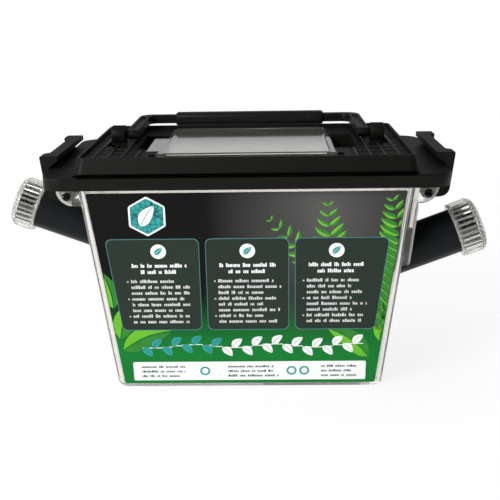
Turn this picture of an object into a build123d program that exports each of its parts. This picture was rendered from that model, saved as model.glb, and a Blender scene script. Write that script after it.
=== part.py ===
from build123d import *
import os
from math import cos, radians, sin, tan

# Cricket keeper box: a clear tapered tank under a black clipped lid, with a hinged
# window, a folding handle and two slanted hiding tubes that slide through the ends.
# Millimetres. Origin: centre of the tank's base. +X right, +Y back, +Z up; the label
# is on the front (-Y). The right tube runs near the front, the left one near the back.

# ---- driving dimensions: tank ----
TANK_BASE_W = 126.4
TANK_BASE_D = 76.2
TANK_H = 103.6
TANK_DRAFT = 6.5          # degrees that each side leans outward
TANK_WALL = 2.0
TANK_FLOOR = 2.2
TANK_CORNER_R = 5.0
TANK_FOOT_CHAMFER = 1.6
LIP_T = 2.0               # outward lip that the lid rests on
EAR_T = 3.4               # hinge ears under the lip, two for each clip
EAR_R = 8.0
EAR_BORDER_W = 1.2        # raised border around each ear's outer face
EAR_BORDER_H = 0.5
EAR_EDGE_W = 2.65         # pin hole to the ear's lower edge

# ---- driving dimensions: lid ----
LID_OVERHANG_X = 15.0     # beyond the tank's rim, each side
LID_OVERHANG_Y = 2.6
LID_WALL = 2.0
LID_SKIRT_H = 5.9
LID_CORNER_R = 10.0
LID_EDGE_CHAMFER = 0.6
PLATE_H = 7.6             # raised middle of the lid
PLATE_INSET_X = 14.3      # from the lid's edge to the foot of the raised middle
PLATE_INSET_Y = 2.2
PLATE_LEAN_X = 1.6        # how far its sides lean in over their height
PLATE_LEAN_Y = 2.6
PLATE_CORNER_R = 4.0
RIM_W = 1.2               # thin rim around the sunken deck
RECESS_DEPTH = 1.7
DECK_T = 2.6
LOCATING_T = 1.5          # inner ring that centres the lid in the tank's mouth
LOCATING_DEPTH = 3.0

# ---- driving dimensions: vent panels ----
PANEL_T = 1.4
PANEL_SEAT_W = 0.9
PANEL_RIB_H = 0.35
GRILLE_EDGE = 4.9         # recess wall to the middle of the first rib
GRILLE_COLUMN_PITCH = 6.2
GRILLE_RIB_W = 1.5
GRILLE_SLOT_W = 1.4
GRILLE_SLOT_PITCH = 4.7

# ---- driving dimensions: window door ----
DOOR_W = 80.8
DOOR_D = 78.8
DOOR_T = 1.6
DOOR_CENTRE_Y = 2.2
DOOR_REAR_W = 79.4        # behind the finger notches
DOOR_REAR_D = 29.6
DOOR_TAB_W = 5.8          # finger tab on the left edge
DOOR_TAB_D = 36.0
DOOR_RISE = 0.8           # raised middle of the door
DOOR_BEVEL = 0.75
DOOR_BORDER = 3.0
DOOR_CORNER_R = 1.5
DOOR_BARREL_R = 1.3
DOOR_PIN_R = 0.9
DOOR_PIN_L = 2.4
DOOR_LUG_W = 2.8
DOOR_SKIRT_T = 1.2
DOOR_SKIRT_H = 2.0
DOOR_CATCH_L = 24.0       # snap bead on the skirt's back
DOOR_CATCH_H = 0.8
DOOR_CATCH_T = 0.25
SEAT_SIDE = 2.0           # ledge under the door's side edges
SEAT_END = 4.6            # ledge under its front and back
NOTCH_D = 40.0            # finger notches beside the door
NOTCH_W = 11.4
NOTCH_DEPTH = 6.6
NOTCH_WALL = 1.4

# ---- driving dimensions: handle ----
HANDLE_SPAN = 117.8       # between the inner faces of the two posts
HANDLE_CORNER_R = 7.0
ARM_W = 5.5
ARM_T = 4.2
ARM_GROOVE_W = 2.9
ARM_GROOVE_DEPTH = 0.7
ARM_GROOVE_R = 1.15
POST_R = 4.5
POST_L = 6.6
POST_EDGE_CHAMFER = 0.55
POST_WEB_T = 5.6
PEDESTAL_MARGIN = 1.6
HANDLE_PIN_R = 1.8
HANDLE_PIN_BACKING = 2.0  # post left outside the blind pin hole
GRIP_L = 79.0
GRIP_T = 6.8
GRIP_D = 8.6
GRIP_EDGE_R = 2.4
GRIP_END_CHAMFER = 0.8
GRIP_GAP = 0.7            # folded grip to the lid's raised middle

# ---- driving dimensions: side clips ----
CLIP_L = 60.0
CLIP_WALL = 2.3
CLIP_TOP_RISE = 5.6       # top of the clip above the lid's flange
CLIP_LIP_REACH = 4.0      # how far the hook reaches in over the flange
CLIP_LIP_T = 2.3
CLIP_TOP_FLARE = 1.9      # outer face's lean outward at the top
CLIP_HEEL_TUCK = 0.5      # and inward at the heel
CLIP_HUB_R = 3.2
CLIP_HEEL_R = 4.5
CLIP_HEEL_RISE = 1.0      # heel above the underside of the hub
CLIP_CROWN_R = 0.75
CLIP_PIN_R = 1.85
CLIP_PIN_SLIT = 0.7
CLIP_PIVOT_INSET = 7.7    # pivot in from the lid's edge
CLIP_PIVOT_DROP = 6.5     # pivot below the lid's skirt
CLIP_SCOOP_L = 46.0       # finger scoop along the top outer edge
CLIP_SCOOP_DEPTH = 3.0
CLIP_SCOOP_H = 4.5
CLIP_SCOOP_CHAMFER = 2.7

# ---- driving dimensions: tubes and caps ----
TUBE_OD = 21.0
TUBE_WALL = 1.2
TUBE_L = 160.0
TUBE_TILT = 20.5          # degrees above level
TUBE_Y = 20.0             # each tube's distance from the tank's middle plane
SOCKET_DROP = 42.2        # tank rim to the tube's axis at the wall
SOCKET_T = 4.5            # thickened pad on the wall above the tube
SOCKET_MARGIN = 3.2
SOCKET_BELOW = 2.6        # how far the pad reaches below the axis
RIGHT_STICK_OUT = 29.0    # wall to the cap's rim, along the tube
LEFT_STICK_OUT = 40.5
CAP_OD = 25.8
CAP_L = 12.6
CAP_END_T = 2.6
CAP_RIB_H = 0.6
CAP_RIB_COUNT = 20
CAP_RIB_W = 1.3
CAP_SHOULDER = 2.2        # chamfer around the cap's end

# ---- driving dimensions: label and dish ----
LABEL_T = 0.25
LABEL_SIDE_MARGIN = 4.0
LABEL_TOP_MARGIN = 2.4    # below the lid's skirt
LABEL_FOOT_MARGIN = 2.5
LABEL_CORNER_R = 1.0
DISH_L = 48.0
DISH_D = 25.0
DISH_H = 8.0
DISH_WALL = 1.6
DISH_CORNER_R = 5.0
DISH_X = 30.0
DISH_SIDE_GAP = 1.5       # from the dish to the tank's front wall
GUARD_T = 1.4
GUARD_BAR_PITCH = 3.2
GUARD_GAP_W = 1.4

# ---- fits ----
SLIDE_CLEAR = 0.08        # radial, tube in socket
PIN_CLEAR = 0.08          # radial, pins in their holes
CAP_CLEAR = 0.35          # radial, cap on tube, with room for the thread
DROP_IN_CLEAR = 0.15      # around panels, guard and grip
DOOR_CLEAR = 0.35         # around the door
DOOR_SEAT_GAP = 0.15
LID_CLEAR = 0.4           # locating ring in the tank's mouth
LIP_CLEAR_X = 1.0         # tank lip inside the lid's skirt, at its ends
LIP_CLEAR_Y = 0.5         # and at its front and back
CLIP_CLEAR = 0.3          # clip to the lid's edge
CLIP_SIDE_CLEAR = 1.0     # clip to the ears beside it
HANDLE_SIDE_CLEAR = 0.4   # arm to the post beside it

# ---- heights and half sizes worked out from them ----
LEAN = tan(radians(TANK_DRAFT))
FLANGE_TOP = TANK_H + LID_WALL
FLANGE_BOTTOM = FLANGE_TOP - LID_SKIRT_H
PLATE_TOP = FLANGE_TOP + PLATE_H
DECK_TOP = PLATE_TOP - RECESS_DEPTH
DECK_BOTTOM = DECK_TOP - DECK_T
SEAT_Z = DECK_TOP - PANEL_T
TANK_TOP_HALF_W = TANK_BASE_W / 2 + TANK_H * LEAN
TANK_TOP_HALF_D = TANK_BASE_D / 2 + TANK_H * LEAN
LID_HALF_W = TANK_TOP_HALF_W + LID_OVERHANG_X
LID_HALF_D = TANK_TOP_HALF_D + LID_OVERHANG_Y
PLATE_FOOT_HALF_W = LID_HALF_W - PLATE_INSET_X
PLATE_FOOT_HALF_D = LID_HALF_D - PLATE_INSET_Y
PLATE_TOP_HALF_W = PLATE_FOOT_HALF_W - PLATE_LEAN_X
PLATE_TOP_HALF_D = PLATE_FOOT_HALF_D - PLATE_LEAN_Y
RECESS_HALF_W = PLATE_TOP_HALF_W - RIM_W
RECESS_HALF_D = PLATE_TOP_HALF_D - RIM_W
DOOR_FRONT = DOOR_CENTRE_Y - DOOR_D / 2
DOOR_BACK = DOOR_CENTRE_Y + DOOR_D / 2
DOOR_STEP = DOOR_BACK - DOOR_REAR_D
DOOR_BOTTOM = SEAT_Z + DOOR_SEAT_GAP
HINGE_Y = DOOR_FRONT + DOOR_BARREL_R
HINGE_Z = DOOR_BOTTOM + DOOR_BARREL_R
WINDOW_HALF_W = DOOR_REAR_W / 2 - SEAT_SIDE
WINDOW_FRONT = DOOR_FRONT + SEAT_END
WINDOW_BACK = DOOR_BACK - SEAT_END
NOTCH_INNER = WINDOW_HALF_W + SEAT_SIDE + DOOR_CLEAR
NOTCH_OUTER = NOTCH_INNER + NOTCH_W
HANDLE_REACH = PLATE_TOP_HALF_D + GRIP_GAP + GRIP_D / 2
POST_INNER = HANDLE_SPAN / 2
POST_OUTER = POST_INNER + POST_L
PIVOT_Z = DECK_TOP + POST_R
ARM_X = POST_INNER - HANDLE_SIDE_CLEAR - ARM_W / 2
CLIP_PIVOT_X = LID_HALF_W - CLIP_PIVOT_INSET
CLIP_PIVOT_Z = FLANGE_BOTTOM - CLIP_PIVOT_DROP
EAR_INNER_Y = CLIP_L / 2 + CLIP_SIDE_CLEAR
SOCKET_Z = TANK_H - SOCKET_DROP
SOCKET_X = TANK_BASE_W / 2 + SOCKET_Z * LEAN
TUBE_R = TUBE_OD / 2
CAP_BORE_DEPTH = CAP_L - CAP_END_T


def slab(width, depth, radius, low, high):
    """Upright block with rounded corners, from one height to another."""
    return extrude(Pos(0, 0, low) * RectangleRounded(width, depth, radius), high - low)


def block(x, y, z):
    """Square block between pairs of limits."""
    size = [limits[1] - limits[0] for limits in (x, y, z)]
    middle = [(limits[0] + limits[1]) / 2 for limits in (x, y, z)]
    return Pos(*middle) * Box(*size)


def tapered_block(low, high, foot, top, corner_r):
    """Upright block with flat leaning sides and rounded corners, from half sizes at each end."""
    faces = []
    for half_foot, half_top in zip(foot, top):
        faces.append(make_face(Polyline(
            (-half_foot, low), (half_foot, low), (half_top, high), (-half_top, high), close=True)))
    across = extrude(Plane.XZ * faces[0], 2 * max(foot + top), both=True)
    along = extrude(Plane.YZ * faces[1], 2 * max(foot + top), both=True)
    body = across & along
    leaning_edges = body.edges().group_by(Axis.Z)[1]
    return fillet(leaning_edges, corner_r)


def tank_form(low, high, grow=0.0):
    """The tank's tapered body between two heights, grown outward by an amount."""
    ends = []
    for height in (low, high):
        reach = height * LEAN + grow
        ends.append((TANK_BASE_W / 2 + reach, TANK_BASE_D / 2 + reach))
    return tapered_block(low, high, ends[0], ends[1], TANK_CORNER_R + grow)


def on_side(part, side):
    """The part as built for the right end, or turned half round for the left one."""
    return part if side > 0 else Rot(0, 0, 180) * part


def tube_frame(along):
    """Place on the right tube's axis, a distance out from the wall, Z along the tube."""
    tilt = radians(TUBE_TILT)
    place = Pos(SOCKET_X + along * cos(tilt), -TUBE_Y, SOCKET_Z + along * sin(tilt))
    return place * Rot(0, 90 - TUBE_TILT, 0)


def ear(y_low):
    """One hinge ear on the right end, with its pin hole still closed."""
    corner_x = LID_HALF_W - LID_WALL - LIP_CLEAR_X
    bottom = CLIP_PIVOT_Z - CLIP_PIN_R - EAR_EDGE_W
    plate = block((TANK_BASE_W / 2, corner_x), (y_low, y_low + EAR_T), (bottom, TANK_H - LIP_T))
    lower_edge = plate.edges().filter_by(Axis.Y).sort_by(Axis.Z)[:2].sort_by(Axis.X)[-1]
    plate = fillet(lower_edge, EAR_R)
    outer_y = y_low if y_low < 0 else y_low + EAR_T
    hollow_x = (TANK_BASE_W / 2, corner_x - EAR_BORDER_W)
    hollow_y = (outer_y - EAR_BORDER_H, outer_y + EAR_BORDER_H)
    hollow = block(hollow_x, hollow_y, (bottom + EAR_BORDER_W, TANK_H - LIP_T))
    lower_edge = hollow.edges().filter_by(Axis.Y).sort_by(Axis.Z)[:2].sort_by(Axis.X)[-1]
    return plate - fillet(lower_edge, EAR_R - EAR_BORDER_W)


def tank():
    """Clear tapered tank with its lip, four hinge ears and two tube sockets."""
    outer = tank_form(0, TANK_H)
    foot_edges = outer.faces().sort_by(Axis.Z)[0].edges()
    outer = chamfer(foot_edges, TANK_FOOT_CHAMFER)
    lip_half_w = LID_HALF_W - LID_WALL - LIP_CLEAR_X
    lip_half_d = LID_HALF_D - LID_WALL - LIP_CLEAR_Y
    lip_r = LID_CORNER_R - LID_WALL - LIP_CLEAR_X
    body = outer + slab(2 * lip_half_w, 2 * lip_half_d, lip_r, TANK_H - LIP_T, TANK_H)
    pad_half = TUBE_R + SOCKET_MARGIN
    pad_y = (-TUBE_Y - pad_half, -TUBE_Y + pad_half)
    pad_z = (SOCKET_Z - SOCKET_BELOW, TANK_H - LIP_T)
    pad_x = (SOCKET_X - TANK_WALL / 2, LID_HALF_W)
    pad = tank_form(pad_z[0], pad_z[1], SOCKET_T) & block(pad_x, pad_y, pad_z)
    for side in (1, -1):
        body += on_side(pad, side)
        for y_low in (EAR_INNER_Y, -EAR_INNER_Y - EAR_T):
            body += on_side(ear(y_low), side)
    body -= tank_form(TANK_FLOOR, TANK_H, -TANK_WALL)
    bore = tube_frame(0) * Cylinder(TUBE_R + SLIDE_CLEAR, 6 * SOCKET_T)
    pin_hole = Cylinder(CLIP_PIN_R + PIN_CLEAR, 3 * CLIP_L, rotation=(90, 0, 0))
    for side in (1, -1):
        body -= on_side(bore, side)
        body -= Pos(side * CLIP_PIVOT_X, 0, CLIP_PIVOT_Z) * pin_hole
    return body


def plate_form(low_inset, high_inset, low, high):
    """The lid's raised middle as a leaning block, drawn in at its foot and its top."""
    foot = (PLATE_FOOT_HALF_W - low_inset, PLATE_FOOT_HALF_D - low_inset)
    top = (PLATE_TOP_HALF_W - high_inset, PLATE_TOP_HALF_D - high_inset)
    return tapered_block(low, high, foot, top, PLATE_CORNER_R - low_inset)


def panel_outline(inset=0.0):
    """Outline of the right vent panel: a side strip that turns in at the front."""
    recess = RectangleRounded(
        2 * (RECESS_HALF_W - inset), 2 * (RECESS_HALF_D - inset), PLATE_CORNER_R - RIM_W)
    side_x = NOTCH_OUTER + NOTCH_WALL + inset
    front_x = DOOR_W / 2 + max(DOOR_LUG_W, DOOR_TAB_W) + NOTCH_WALL + inset
    front_y = DOOR_CENTRE_Y - NOTCH_D / 2 + DROP_IN_CLEAR - NOTCH_WALL - inset
    strip = Pos((side_x + LID_HALF_W) / 2, 0) * Rectangle(LID_HALF_W - side_x, 2 * LID_HALF_D)
    front = Pos((front_x + LID_HALF_W) / 2, (front_y - LID_HALF_D) / 2) * Rectangle(
        LID_HALF_W - front_x, LID_HALF_D + front_y)
    return recess & (strip + front)


def pedestal_outline(grow=0.0):
    """Patch of deck that the right handle post stands on."""
    length = POST_L + 2 * (PEDESTAL_MARGIN + grow)
    depth = 2 * (POST_R + PEDESTAL_MARGIN + grow)
    return Pos((POST_INNER + POST_OUTER) / 2, 0) * Rectangle(length, depth)


def post():
    """Right handle post: a round boss along X on a short web, with a blind pin hole."""
    middle = (POST_INNER + POST_OUTER) / 2
    boss = Pos(middle, 0, PIVOT_Z) * Cylinder(POST_R, POST_L, rotation=(0, 90, 0))
    boss = chamfer(boss.edges().filter_by(GeomType.CIRCLE).sort_by(Axis.X)[-1], POST_EDGE_CHAMFER)
    web = block((POST_INNER, POST_OUTER), (-POST_WEB_T / 2, POST_WEB_T / 2), (DECK_TOP, PIVOT_Z))
    hole_l = POST_L - HANDLE_PIN_BACKING + PIN_CLEAR
    hole = Pos(POST_INNER + hole_l / 2, 0, PIVOT_Z) * Cylinder(
        HANDLE_PIN_R + PIN_CLEAR, hole_l, rotation=(0, 90, 0))
    return boss + web - hole


def door_outline(grow=0.0):
    """The window door seen from above, with its finger tab on the left."""
    wide = Pos(0, (DOOR_FRONT + DOOR_STEP) / 2) * Rectangle(
        DOOR_W + 2 * grow, DOOR_STEP - DOOR_FRONT + 2 * grow)
    rear = Pos(0, DOOR_CENTRE_Y) * RectangleRounded(
        DOOR_REAR_W + 2 * grow, DOOR_D + 2 * grow, DOOR_CORNER_R)
    tab_l = DOOR_W / 2 + DOOR_TAB_W
    tab = Pos(-tab_l / 2, DOOR_STEP - DOOR_TAB_D / 2) * Rectangle(tab_l + 2 * grow, DOOR_TAB_D + 2 * grow)
    return wide + rear + tab


def lid():
    """Black lid: flange with skirt, raised middle with a sunken deck, posts and seats."""
    flange = slab(2 * LID_HALF_W, 2 * LID_HALF_D, LID_CORNER_R, FLANGE_BOTTOM, FLANGE_TOP)
    flange = chamfer(flange.faces().sort_by(Axis.Z)[-1].edges(), LID_EDGE_CHAMFER)
    body = flange + plate_form(0, 0, FLANGE_TOP - LID_WALL / 2, PLATE_TOP)
    body -= slab(2 * (LID_HALF_W - LID_WALL), 2 * (LID_HALF_D - LID_WALL),
                 LID_CORNER_R - LID_WALL, FLANGE_BOTTOM, TANK_H)
    body -= plate_form(LID_WALL, LID_WALL, TANK_H, DECK_BOTTOM)
    ring_z = TANK_H - LOCATING_DEPTH
    ring_inset = TANK_WALL + LID_CLEAR
    ring_half_w = TANK_BASE_W / 2 + ring_z * LEAN - ring_inset
    ring_half_d = TANK_BASE_D / 2 + ring_z * LEAN - ring_inset
    ring = slab(2 * ring_half_w, 2 * ring_half_d, TANK_CORNER_R, ring_z, DECK_BOTTOM)
    ring -= slab(2 * (ring_half_w - LOCATING_T), 2 * (ring_half_d - LOCATING_T),
                 TANK_CORNER_R - LOCATING_T, ring_z, DECK_BOTTOM)
    body += ring
    body -= slab(2 * RECESS_HALF_W, 2 * RECESS_HALF_D, PLATE_CORNER_R - RIM_W, DECK_TOP, PLATE_TOP)
    notch_y = (DOOR_CENTRE_Y - NOTCH_D / 2, DOOR_CENTRE_Y + NOTCH_D / 2)
    notch_floor = DECK_TOP - NOTCH_DEPTH
    for side in (1, -1):
        cup = block((NOTCH_INNER - NOTCH_WALL, NOTCH_OUTER + NOTCH_WALL),
                    (notch_y[0] - NOTCH_WALL, notch_y[1] + NOTCH_WALL),
                    (notch_floor - NOTCH_WALL, DECK_BOTTOM))
        body += cup if side > 0 else mirror(cup, Plane.YZ)
    vent = panel_outline(PANEL_SEAT_W) - Pos(POST_INNER, 0) * Rectangle(LID_HALF_W, 2 * POST_R)
    vent_cut = extrude(Pos(0, 0, DECK_BOTTOM) * vent, DECK_T)
    seat = panel_outline() - pedestal_outline()
    seat_cut = extrude(Pos(0, 0, SEAT_Z) * seat, PANEL_T)
    notch_cut = block((NOTCH_INNER, NOTCH_OUTER), notch_y, (notch_floor, DECK_TOP))
    for cut in (vent_cut, seat_cut, notch_cut):
        body -= cut
        body -= mirror(cut, Plane.YZ)
    body -= extrude(Pos(0, 0, SEAT_Z) * door_outline(DOOR_CLEAR), PANEL_T)
    body -= block((-WINDOW_HALF_W, WINDOW_HALF_W), (WINDOW_FRONT, WINDOW_BACK), (DECK_BOTTOM, DECK_TOP))
    for side in (1, -1):
        inner = DOOR_W / 2 + DOOR_CLEAR
        lug = block((inner, inner + DOOR_LUG_W), (DOOR_FRONT, HINGE_Y + DOOR_BARREL_R),
                    (SEAT_Z, HINGE_Z + DOOR_BARREL_R))
        fittings = post() + lug
        body += fittings if side > 0 else mirror(fittings, Plane.YZ)
    hinge_hole_l = DOOR_W + 2 * (DOOR_CLEAR + DOOR_LUG_W)
    return body - Pos(0, HINGE_Y, HINGE_Z) * Cylinder(
        DOOR_PIN_R + PIN_CLEAR, hinge_hole_l, rotation=(0, 90, 0))


def vent_panel(side):
    """Slotted grille that drops into the deck beside the window."""
    usable = panel_outline(PANEL_SEAT_W + DROP_IN_CLEAR) - pedestal_outline(GRILLE_RIB_W)
    outline = offset(panel_outline(), -DROP_IN_CLEAR) - pedestal_outline(DROP_IN_CLEAR)
    first_rib_x = RECESS_HALF_W - GRILLE_EDGE
    columns = int((first_rib_x - NOTCH_OUTER) / GRILLE_COLUMN_PITCH) + 2
    rows = int(RECESS_HALF_D / GRILLE_SLOT_PITCH)
    slot_l = GRILLE_COLUMN_PITCH - GRILLE_RIB_W
    slots = []
    ribs = []
    for column in range(columns):
        rib_x = first_rib_x - column * GRILLE_COLUMN_PITCH
        ribs.append(Pos(rib_x, 0) * Rectangle(GRILLE_RIB_W, 2 * RECESS_HALF_D))
        for row in range(-rows, rows + 1):
            place = Pos(rib_x + GRILLE_COLUMN_PITCH / 2, row * GRILLE_SLOT_PITCH)
            slot = usable & place * Rectangle(slot_l, GRILLE_SLOT_W)
            if slot.area > slot_l * GRILLE_SLOT_W / 2:
                slots.append(slot)
    panel = extrude(Pos(0, 0, SEAT_Z) * (outline - slots), PANEL_T)
    for rib in ribs:
        panel += extrude(Pos(0, 0, DECK_TOP) * (outline & rib), PANEL_RIB_H)
    return panel if side > 0 else mirror(panel, Plane.YZ)


def window_door():
    """Clear door with a raised middle, a skirt that fills the window and hinge pins."""
    flat = extrude(Pos(0, 0, DOOR_BOTTOM) * door_outline(), DOOR_T)
    flat -= block((-DOOR_W, DOOR_W), (DOOR_FRONT, HINGE_Y), (DOOR_BOTTOM, DOOR_BOTTOM + DOOR_T))
    raised = Pos(0, DOOR_CENTRE_Y + DOOR_BARREL_R / 2, DOOR_BOTTOM + DOOR_T) * extrude(
        Rectangle(DOOR_REAR_W - DOOR_BORDER, DOOR_D - DOOR_BORDER - DOOR_BARREL_R), DOOR_RISE)
    raised = chamfer(raised.faces().sort_by(Axis.Z)[-1].edges(), DOOR_BEVEL)
    skirt_x = WINDOW_HALF_W - DOOR_CLEAR
    skirt_y = (WINDOW_FRONT + DOOR_CLEAR, WINDOW_BACK - DOOR_CLEAR)
    skirt_z = (DOOR_BOTTOM - DOOR_SKIRT_H, DOOR_BOTTOM)
    skirt = block((-skirt_x, skirt_x), skirt_y, skirt_z)
    skirt -= block((DOOR_SKIRT_T - skirt_x, skirt_x - DOOR_SKIRT_T),
                   (skirt_y[0] + DOOR_SKIRT_T, skirt_y[1] - DOOR_SKIRT_T), skirt_z)
    pins_l = DOOR_W + 2 * (DOOR_CLEAR + DOOR_PIN_L)
    barrel = Pos(0, HINGE_Y, HINGE_Z) * Cylinder(DOOR_BARREL_R, DOOR_W, rotation=(0, 90, 0))
    pins = Pos(0, HINGE_Y, HINGE_Z) * Cylinder(DOOR_PIN_R, pins_l, rotation=(0, 90, 0))
    catch = block((-DOOR_CATCH_L / 2, DOOR_CATCH_L / 2), (skirt_y[1], skirt_y[1] + DOOR_CATCH_T),
                  (skirt_z[0], skirt_z[0] + DOOR_CATCH_H))
    return flat + raised + skirt + barrel + pins + catch


def handle_bail():
    """U-shaped carrying handle, folded to the back, with a pin out of each arm."""
    half = ARM_X + ARM_W / 2
    back = HANDLE_REACH + ARM_W / 2
    outer = Pos(0, back / 2) * Rectangle(2 * half, back)
    inner = Pos(0, (back - ARM_W) / 2) * Rectangle(2 * half - 2 * ARM_W, back - ARM_W)
    outer = fillet(outer.vertices().group_by(Axis.Y)[-1], HANDLE_CORNER_R)
    inner = fillet(inner.vertices().group_by(Axis.Y)[-1], HANDLE_CORNER_R - ARM_W / 2)
    bail = extrude(Pos(0, 0, PIVOT_Z - ARM_T / 2) * (outer - inner), ARM_T)
    groove_l = HANDLE_REACH - HANDLE_CORNER_R - ARM_T
    for side in (1, -1):
        eye = Pos(side * ARM_X, 0, PIVOT_Z) * Cylinder(ARM_T / 2, ARM_W, rotation=(0, 90, 0))
        pin_l = HANDLE_SIDE_CLEAR + POST_L - HANDLE_PIN_BACKING
        pin = Pos(side * (half + pin_l / 2), 0, PIVOT_Z) * Cylinder(
            HANDLE_PIN_R, pin_l, rotation=(0, 90, 0))
        bail += eye + pin
        groove_z = PIVOT_Z + ARM_T / 2 - ARM_GROOVE_DEPTH
        groove = Pos(side * ARM_X, ARM_T + groove_l / 2, groove_z) * extrude(
            RectangleRounded(ARM_GROOVE_W, groove_l, ARM_GROOVE_R), ARM_GROOVE_DEPTH)
        bail -= groove
    return bail


def handle_grip():
    """Thicker sleeve around the middle of the bar."""
    sleeve = Pos(0, HANDLE_REACH, PIVOT_Z) * Box(GRIP_L, GRIP_D, GRIP_T)
    sleeve = fillet(sleeve.edges().filter_by(Axis.X), GRIP_EDGE_R)
    ends = sleeve.faces().filter_by(Axis.X)
    sleeve = chamfer(ends[0].edges() + ends[1].edges(), GRIP_END_CHAMFER)
    clear = 2 * DROP_IN_CLEAR
    return sleeve - Pos(0, HANDLE_REACH, PIVOT_Z) * Box(2 * GRIP_L, ARM_W + clear, ARM_T + clear)


def side_clip(side):
    """Hooked clip that holds the lid down, with a split pin into each ear."""
    inner_x = LID_HALF_W + CLIP_CLEAR
    top_z = FLANGE_TOP + CLIP_TOP_RISE
    hook_z = FLANGE_TOP + CLIP_CLEAR
    heel_z = CLIP_PIVOT_Z - CLIP_HUB_R + CLIP_HEEL_RISE
    top_x = inner_x + CLIP_WALL + CLIP_TOP_FLARE
    heel_x = inner_x + CLIP_WALL - CLIP_HEEL_TUCK
    lip_x = LID_HALF_W - CLIP_LIP_REACH
    corners = [
        (lip_x, top_z), (top_x, top_z), (heel_x, heel_z),
        (CLIP_PIVOT_X, CLIP_PIVOT_Z - CLIP_HUB_R), (CLIP_PIVOT_X, CLIP_PIVOT_Z + CLIP_HUB_R),
        (inner_x, CLIP_PIVOT_Z + CLIP_HUB_R + CLIP_WALL), (inner_x, hook_z),
        (lip_x, top_z - CLIP_LIP_T)]
    outline = make_face(Polyline(*[(x, z) for x, z in corners], close=True))
    heel = outline.vertices().sort_by_distance((heel_x, heel_z))[0]
    outline = fillet(heel, CLIP_HEEL_R)
    waist = outline.vertices().sort_by_distance(corners[5])[0]
    outline = fillet(waist, CLIP_WALL)
    crown = outline.vertices().sort_by_distance(corners[1])[0]
    outline = fillet(crown, CLIP_CROWN_R)
    outline += Pos(CLIP_PIVOT_X, CLIP_PIVOT_Z) * Circle(CLIP_HUB_R)
    clip = extrude(Plane.XZ * outline, CLIP_L / 2, both=True)
    scoop = Pos(top_x, 0, top_z) * Box(2 * CLIP_SCOOP_DEPTH, CLIP_SCOOP_L, 2 * CLIP_SCOOP_H)
    scoop = chamfer(scoop.edges().filter_by(Axis.Z), CLIP_SCOOP_CHAMFER)
    clip -= scoop
    pin_l = CLIP_L + 2 * (CLIP_SIDE_CLEAR + EAR_T + CLIP_SIDE_CLEAR / 2)
    pin = Pos(CLIP_PIVOT_X, 0, CLIP_PIVOT_Z) * Cylinder(CLIP_PIN_R, pin_l, rotation=(90, 0, 0))
    clip += pin
    for end in (1, -1):
        slit_y = end * (pin_l / 2 - EAR_T / 2)
        clip -= Pos(CLIP_PIVOT_X, slit_y, CLIP_PIVOT_Z) * Box(4 * CLIP_PIN_R, EAR_T, CLIP_PIN_SLIT)
    return on_side(clip, side)


def tube(side):
    """Round hiding tube, open at its inner end."""
    stick_out = RIGHT_STICK_OUT if side > 0 else LEFT_STICK_OUT
    outer_end = stick_out + CAP_BORE_DEPTH
    pipe = Cylinder(TUBE_R, TUBE_L) - Cylinder(TUBE_R - TUBE_WALL, TUBE_L)
    return on_side(tube_frame(outer_end - TUBE_L / 2) * pipe, side)


def tube_cap(side):
    """Ribbed cap on the tube's outer end."""
    stick_out = RIGHT_STICK_OUT if side > 0 else LEFT_STICK_OUT
    core_r = CAP_OD / 2 - CAP_RIB_H
    low = (Align.CENTER, Align.CENTER, Align.MIN)
    core = Cylinder(core_r, CAP_L, align=low)
    core = chamfer(core.edges().sort_by(Axis.Z)[-1], CAP_SHOULDER)
    rib = Pos(core_r, 0) * Box(2 * CAP_RIB_H, CAP_RIB_W, CAP_L - CAP_SHOULDER, align=low)
    ribs = [Rot(0, 0, 360 * turn / CAP_RIB_COUNT) * rib for turn in range(CAP_RIB_COUNT)]
    shell = core + ribs - Cylinder(TUBE_R + CAP_CLEAR, CAP_BORE_DEPTH, align=low)
    return on_side(tube_frame(stick_out) * shell, side)


def front_label():
    """Printed label on the sloping front wall."""
    low = LABEL_FOOT_MARGIN
    high = FLANGE_BOTTOM - LABEL_TOP_MARGIN
    slope = (high - low) / cos(radians(TANK_DRAFT))
    half_low = TANK_BASE_W / 2 + low * LEAN - LABEL_SIDE_MARGIN
    half_high = TANK_BASE_W / 2 + high * LEAN - LABEL_SIDE_MARGIN
    outline = make_face(Polyline(
        (-half_low, 0), (half_low, 0), (half_high, slope), (-half_high, slope), close=True))
    outline = fillet(outline.vertices(), LABEL_CORNER_R)
    wall_y = -(TANK_BASE_D / 2 + low * LEAN)
    return Pos(0, wall_y, low) * Rot(90 + TANK_DRAFT, 0, 0) * extrude(outline, LABEL_T)


def dish_place():
    """Middle of the dish's underside on the tank's floor."""
    front = TANK_BASE_D / 2 - TANK_WALL - DISH_SIDE_GAP
    return Pos(DISH_X, DISH_D / 2 - front, TANK_FLOOR)


def well(side, grow=0.0):
    """One of the dish's two wells, as a block to cut."""
    length = (DISH_L - 3 * DISH_WALL) / 2
    place = Pos(side * (length + DISH_WALL) / 2, 0, DISH_WALL)
    depth = DISH_D - 2 * DISH_WALL
    outline = RectangleRounded(length + 2 * grow, depth + 2 * grow, DISH_CORNER_R - DISH_WALL)
    return place * extrude(outline, DISH_H - DISH_WALL)


def feeding_dish():
    """Low dish with a food well and a water well, the water well stepped for its guard."""
    body = extrude(RectangleRounded(DISH_L, DISH_D, DISH_CORNER_R), DISH_H)
    body -= [well(1), well(-1)]
    step = DISH_WALL / 2
    body -= Pos(0, 0, DISH_H - GUARD_T - DISH_WALL) * well(1, step)
    return dish_place() * body


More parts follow.
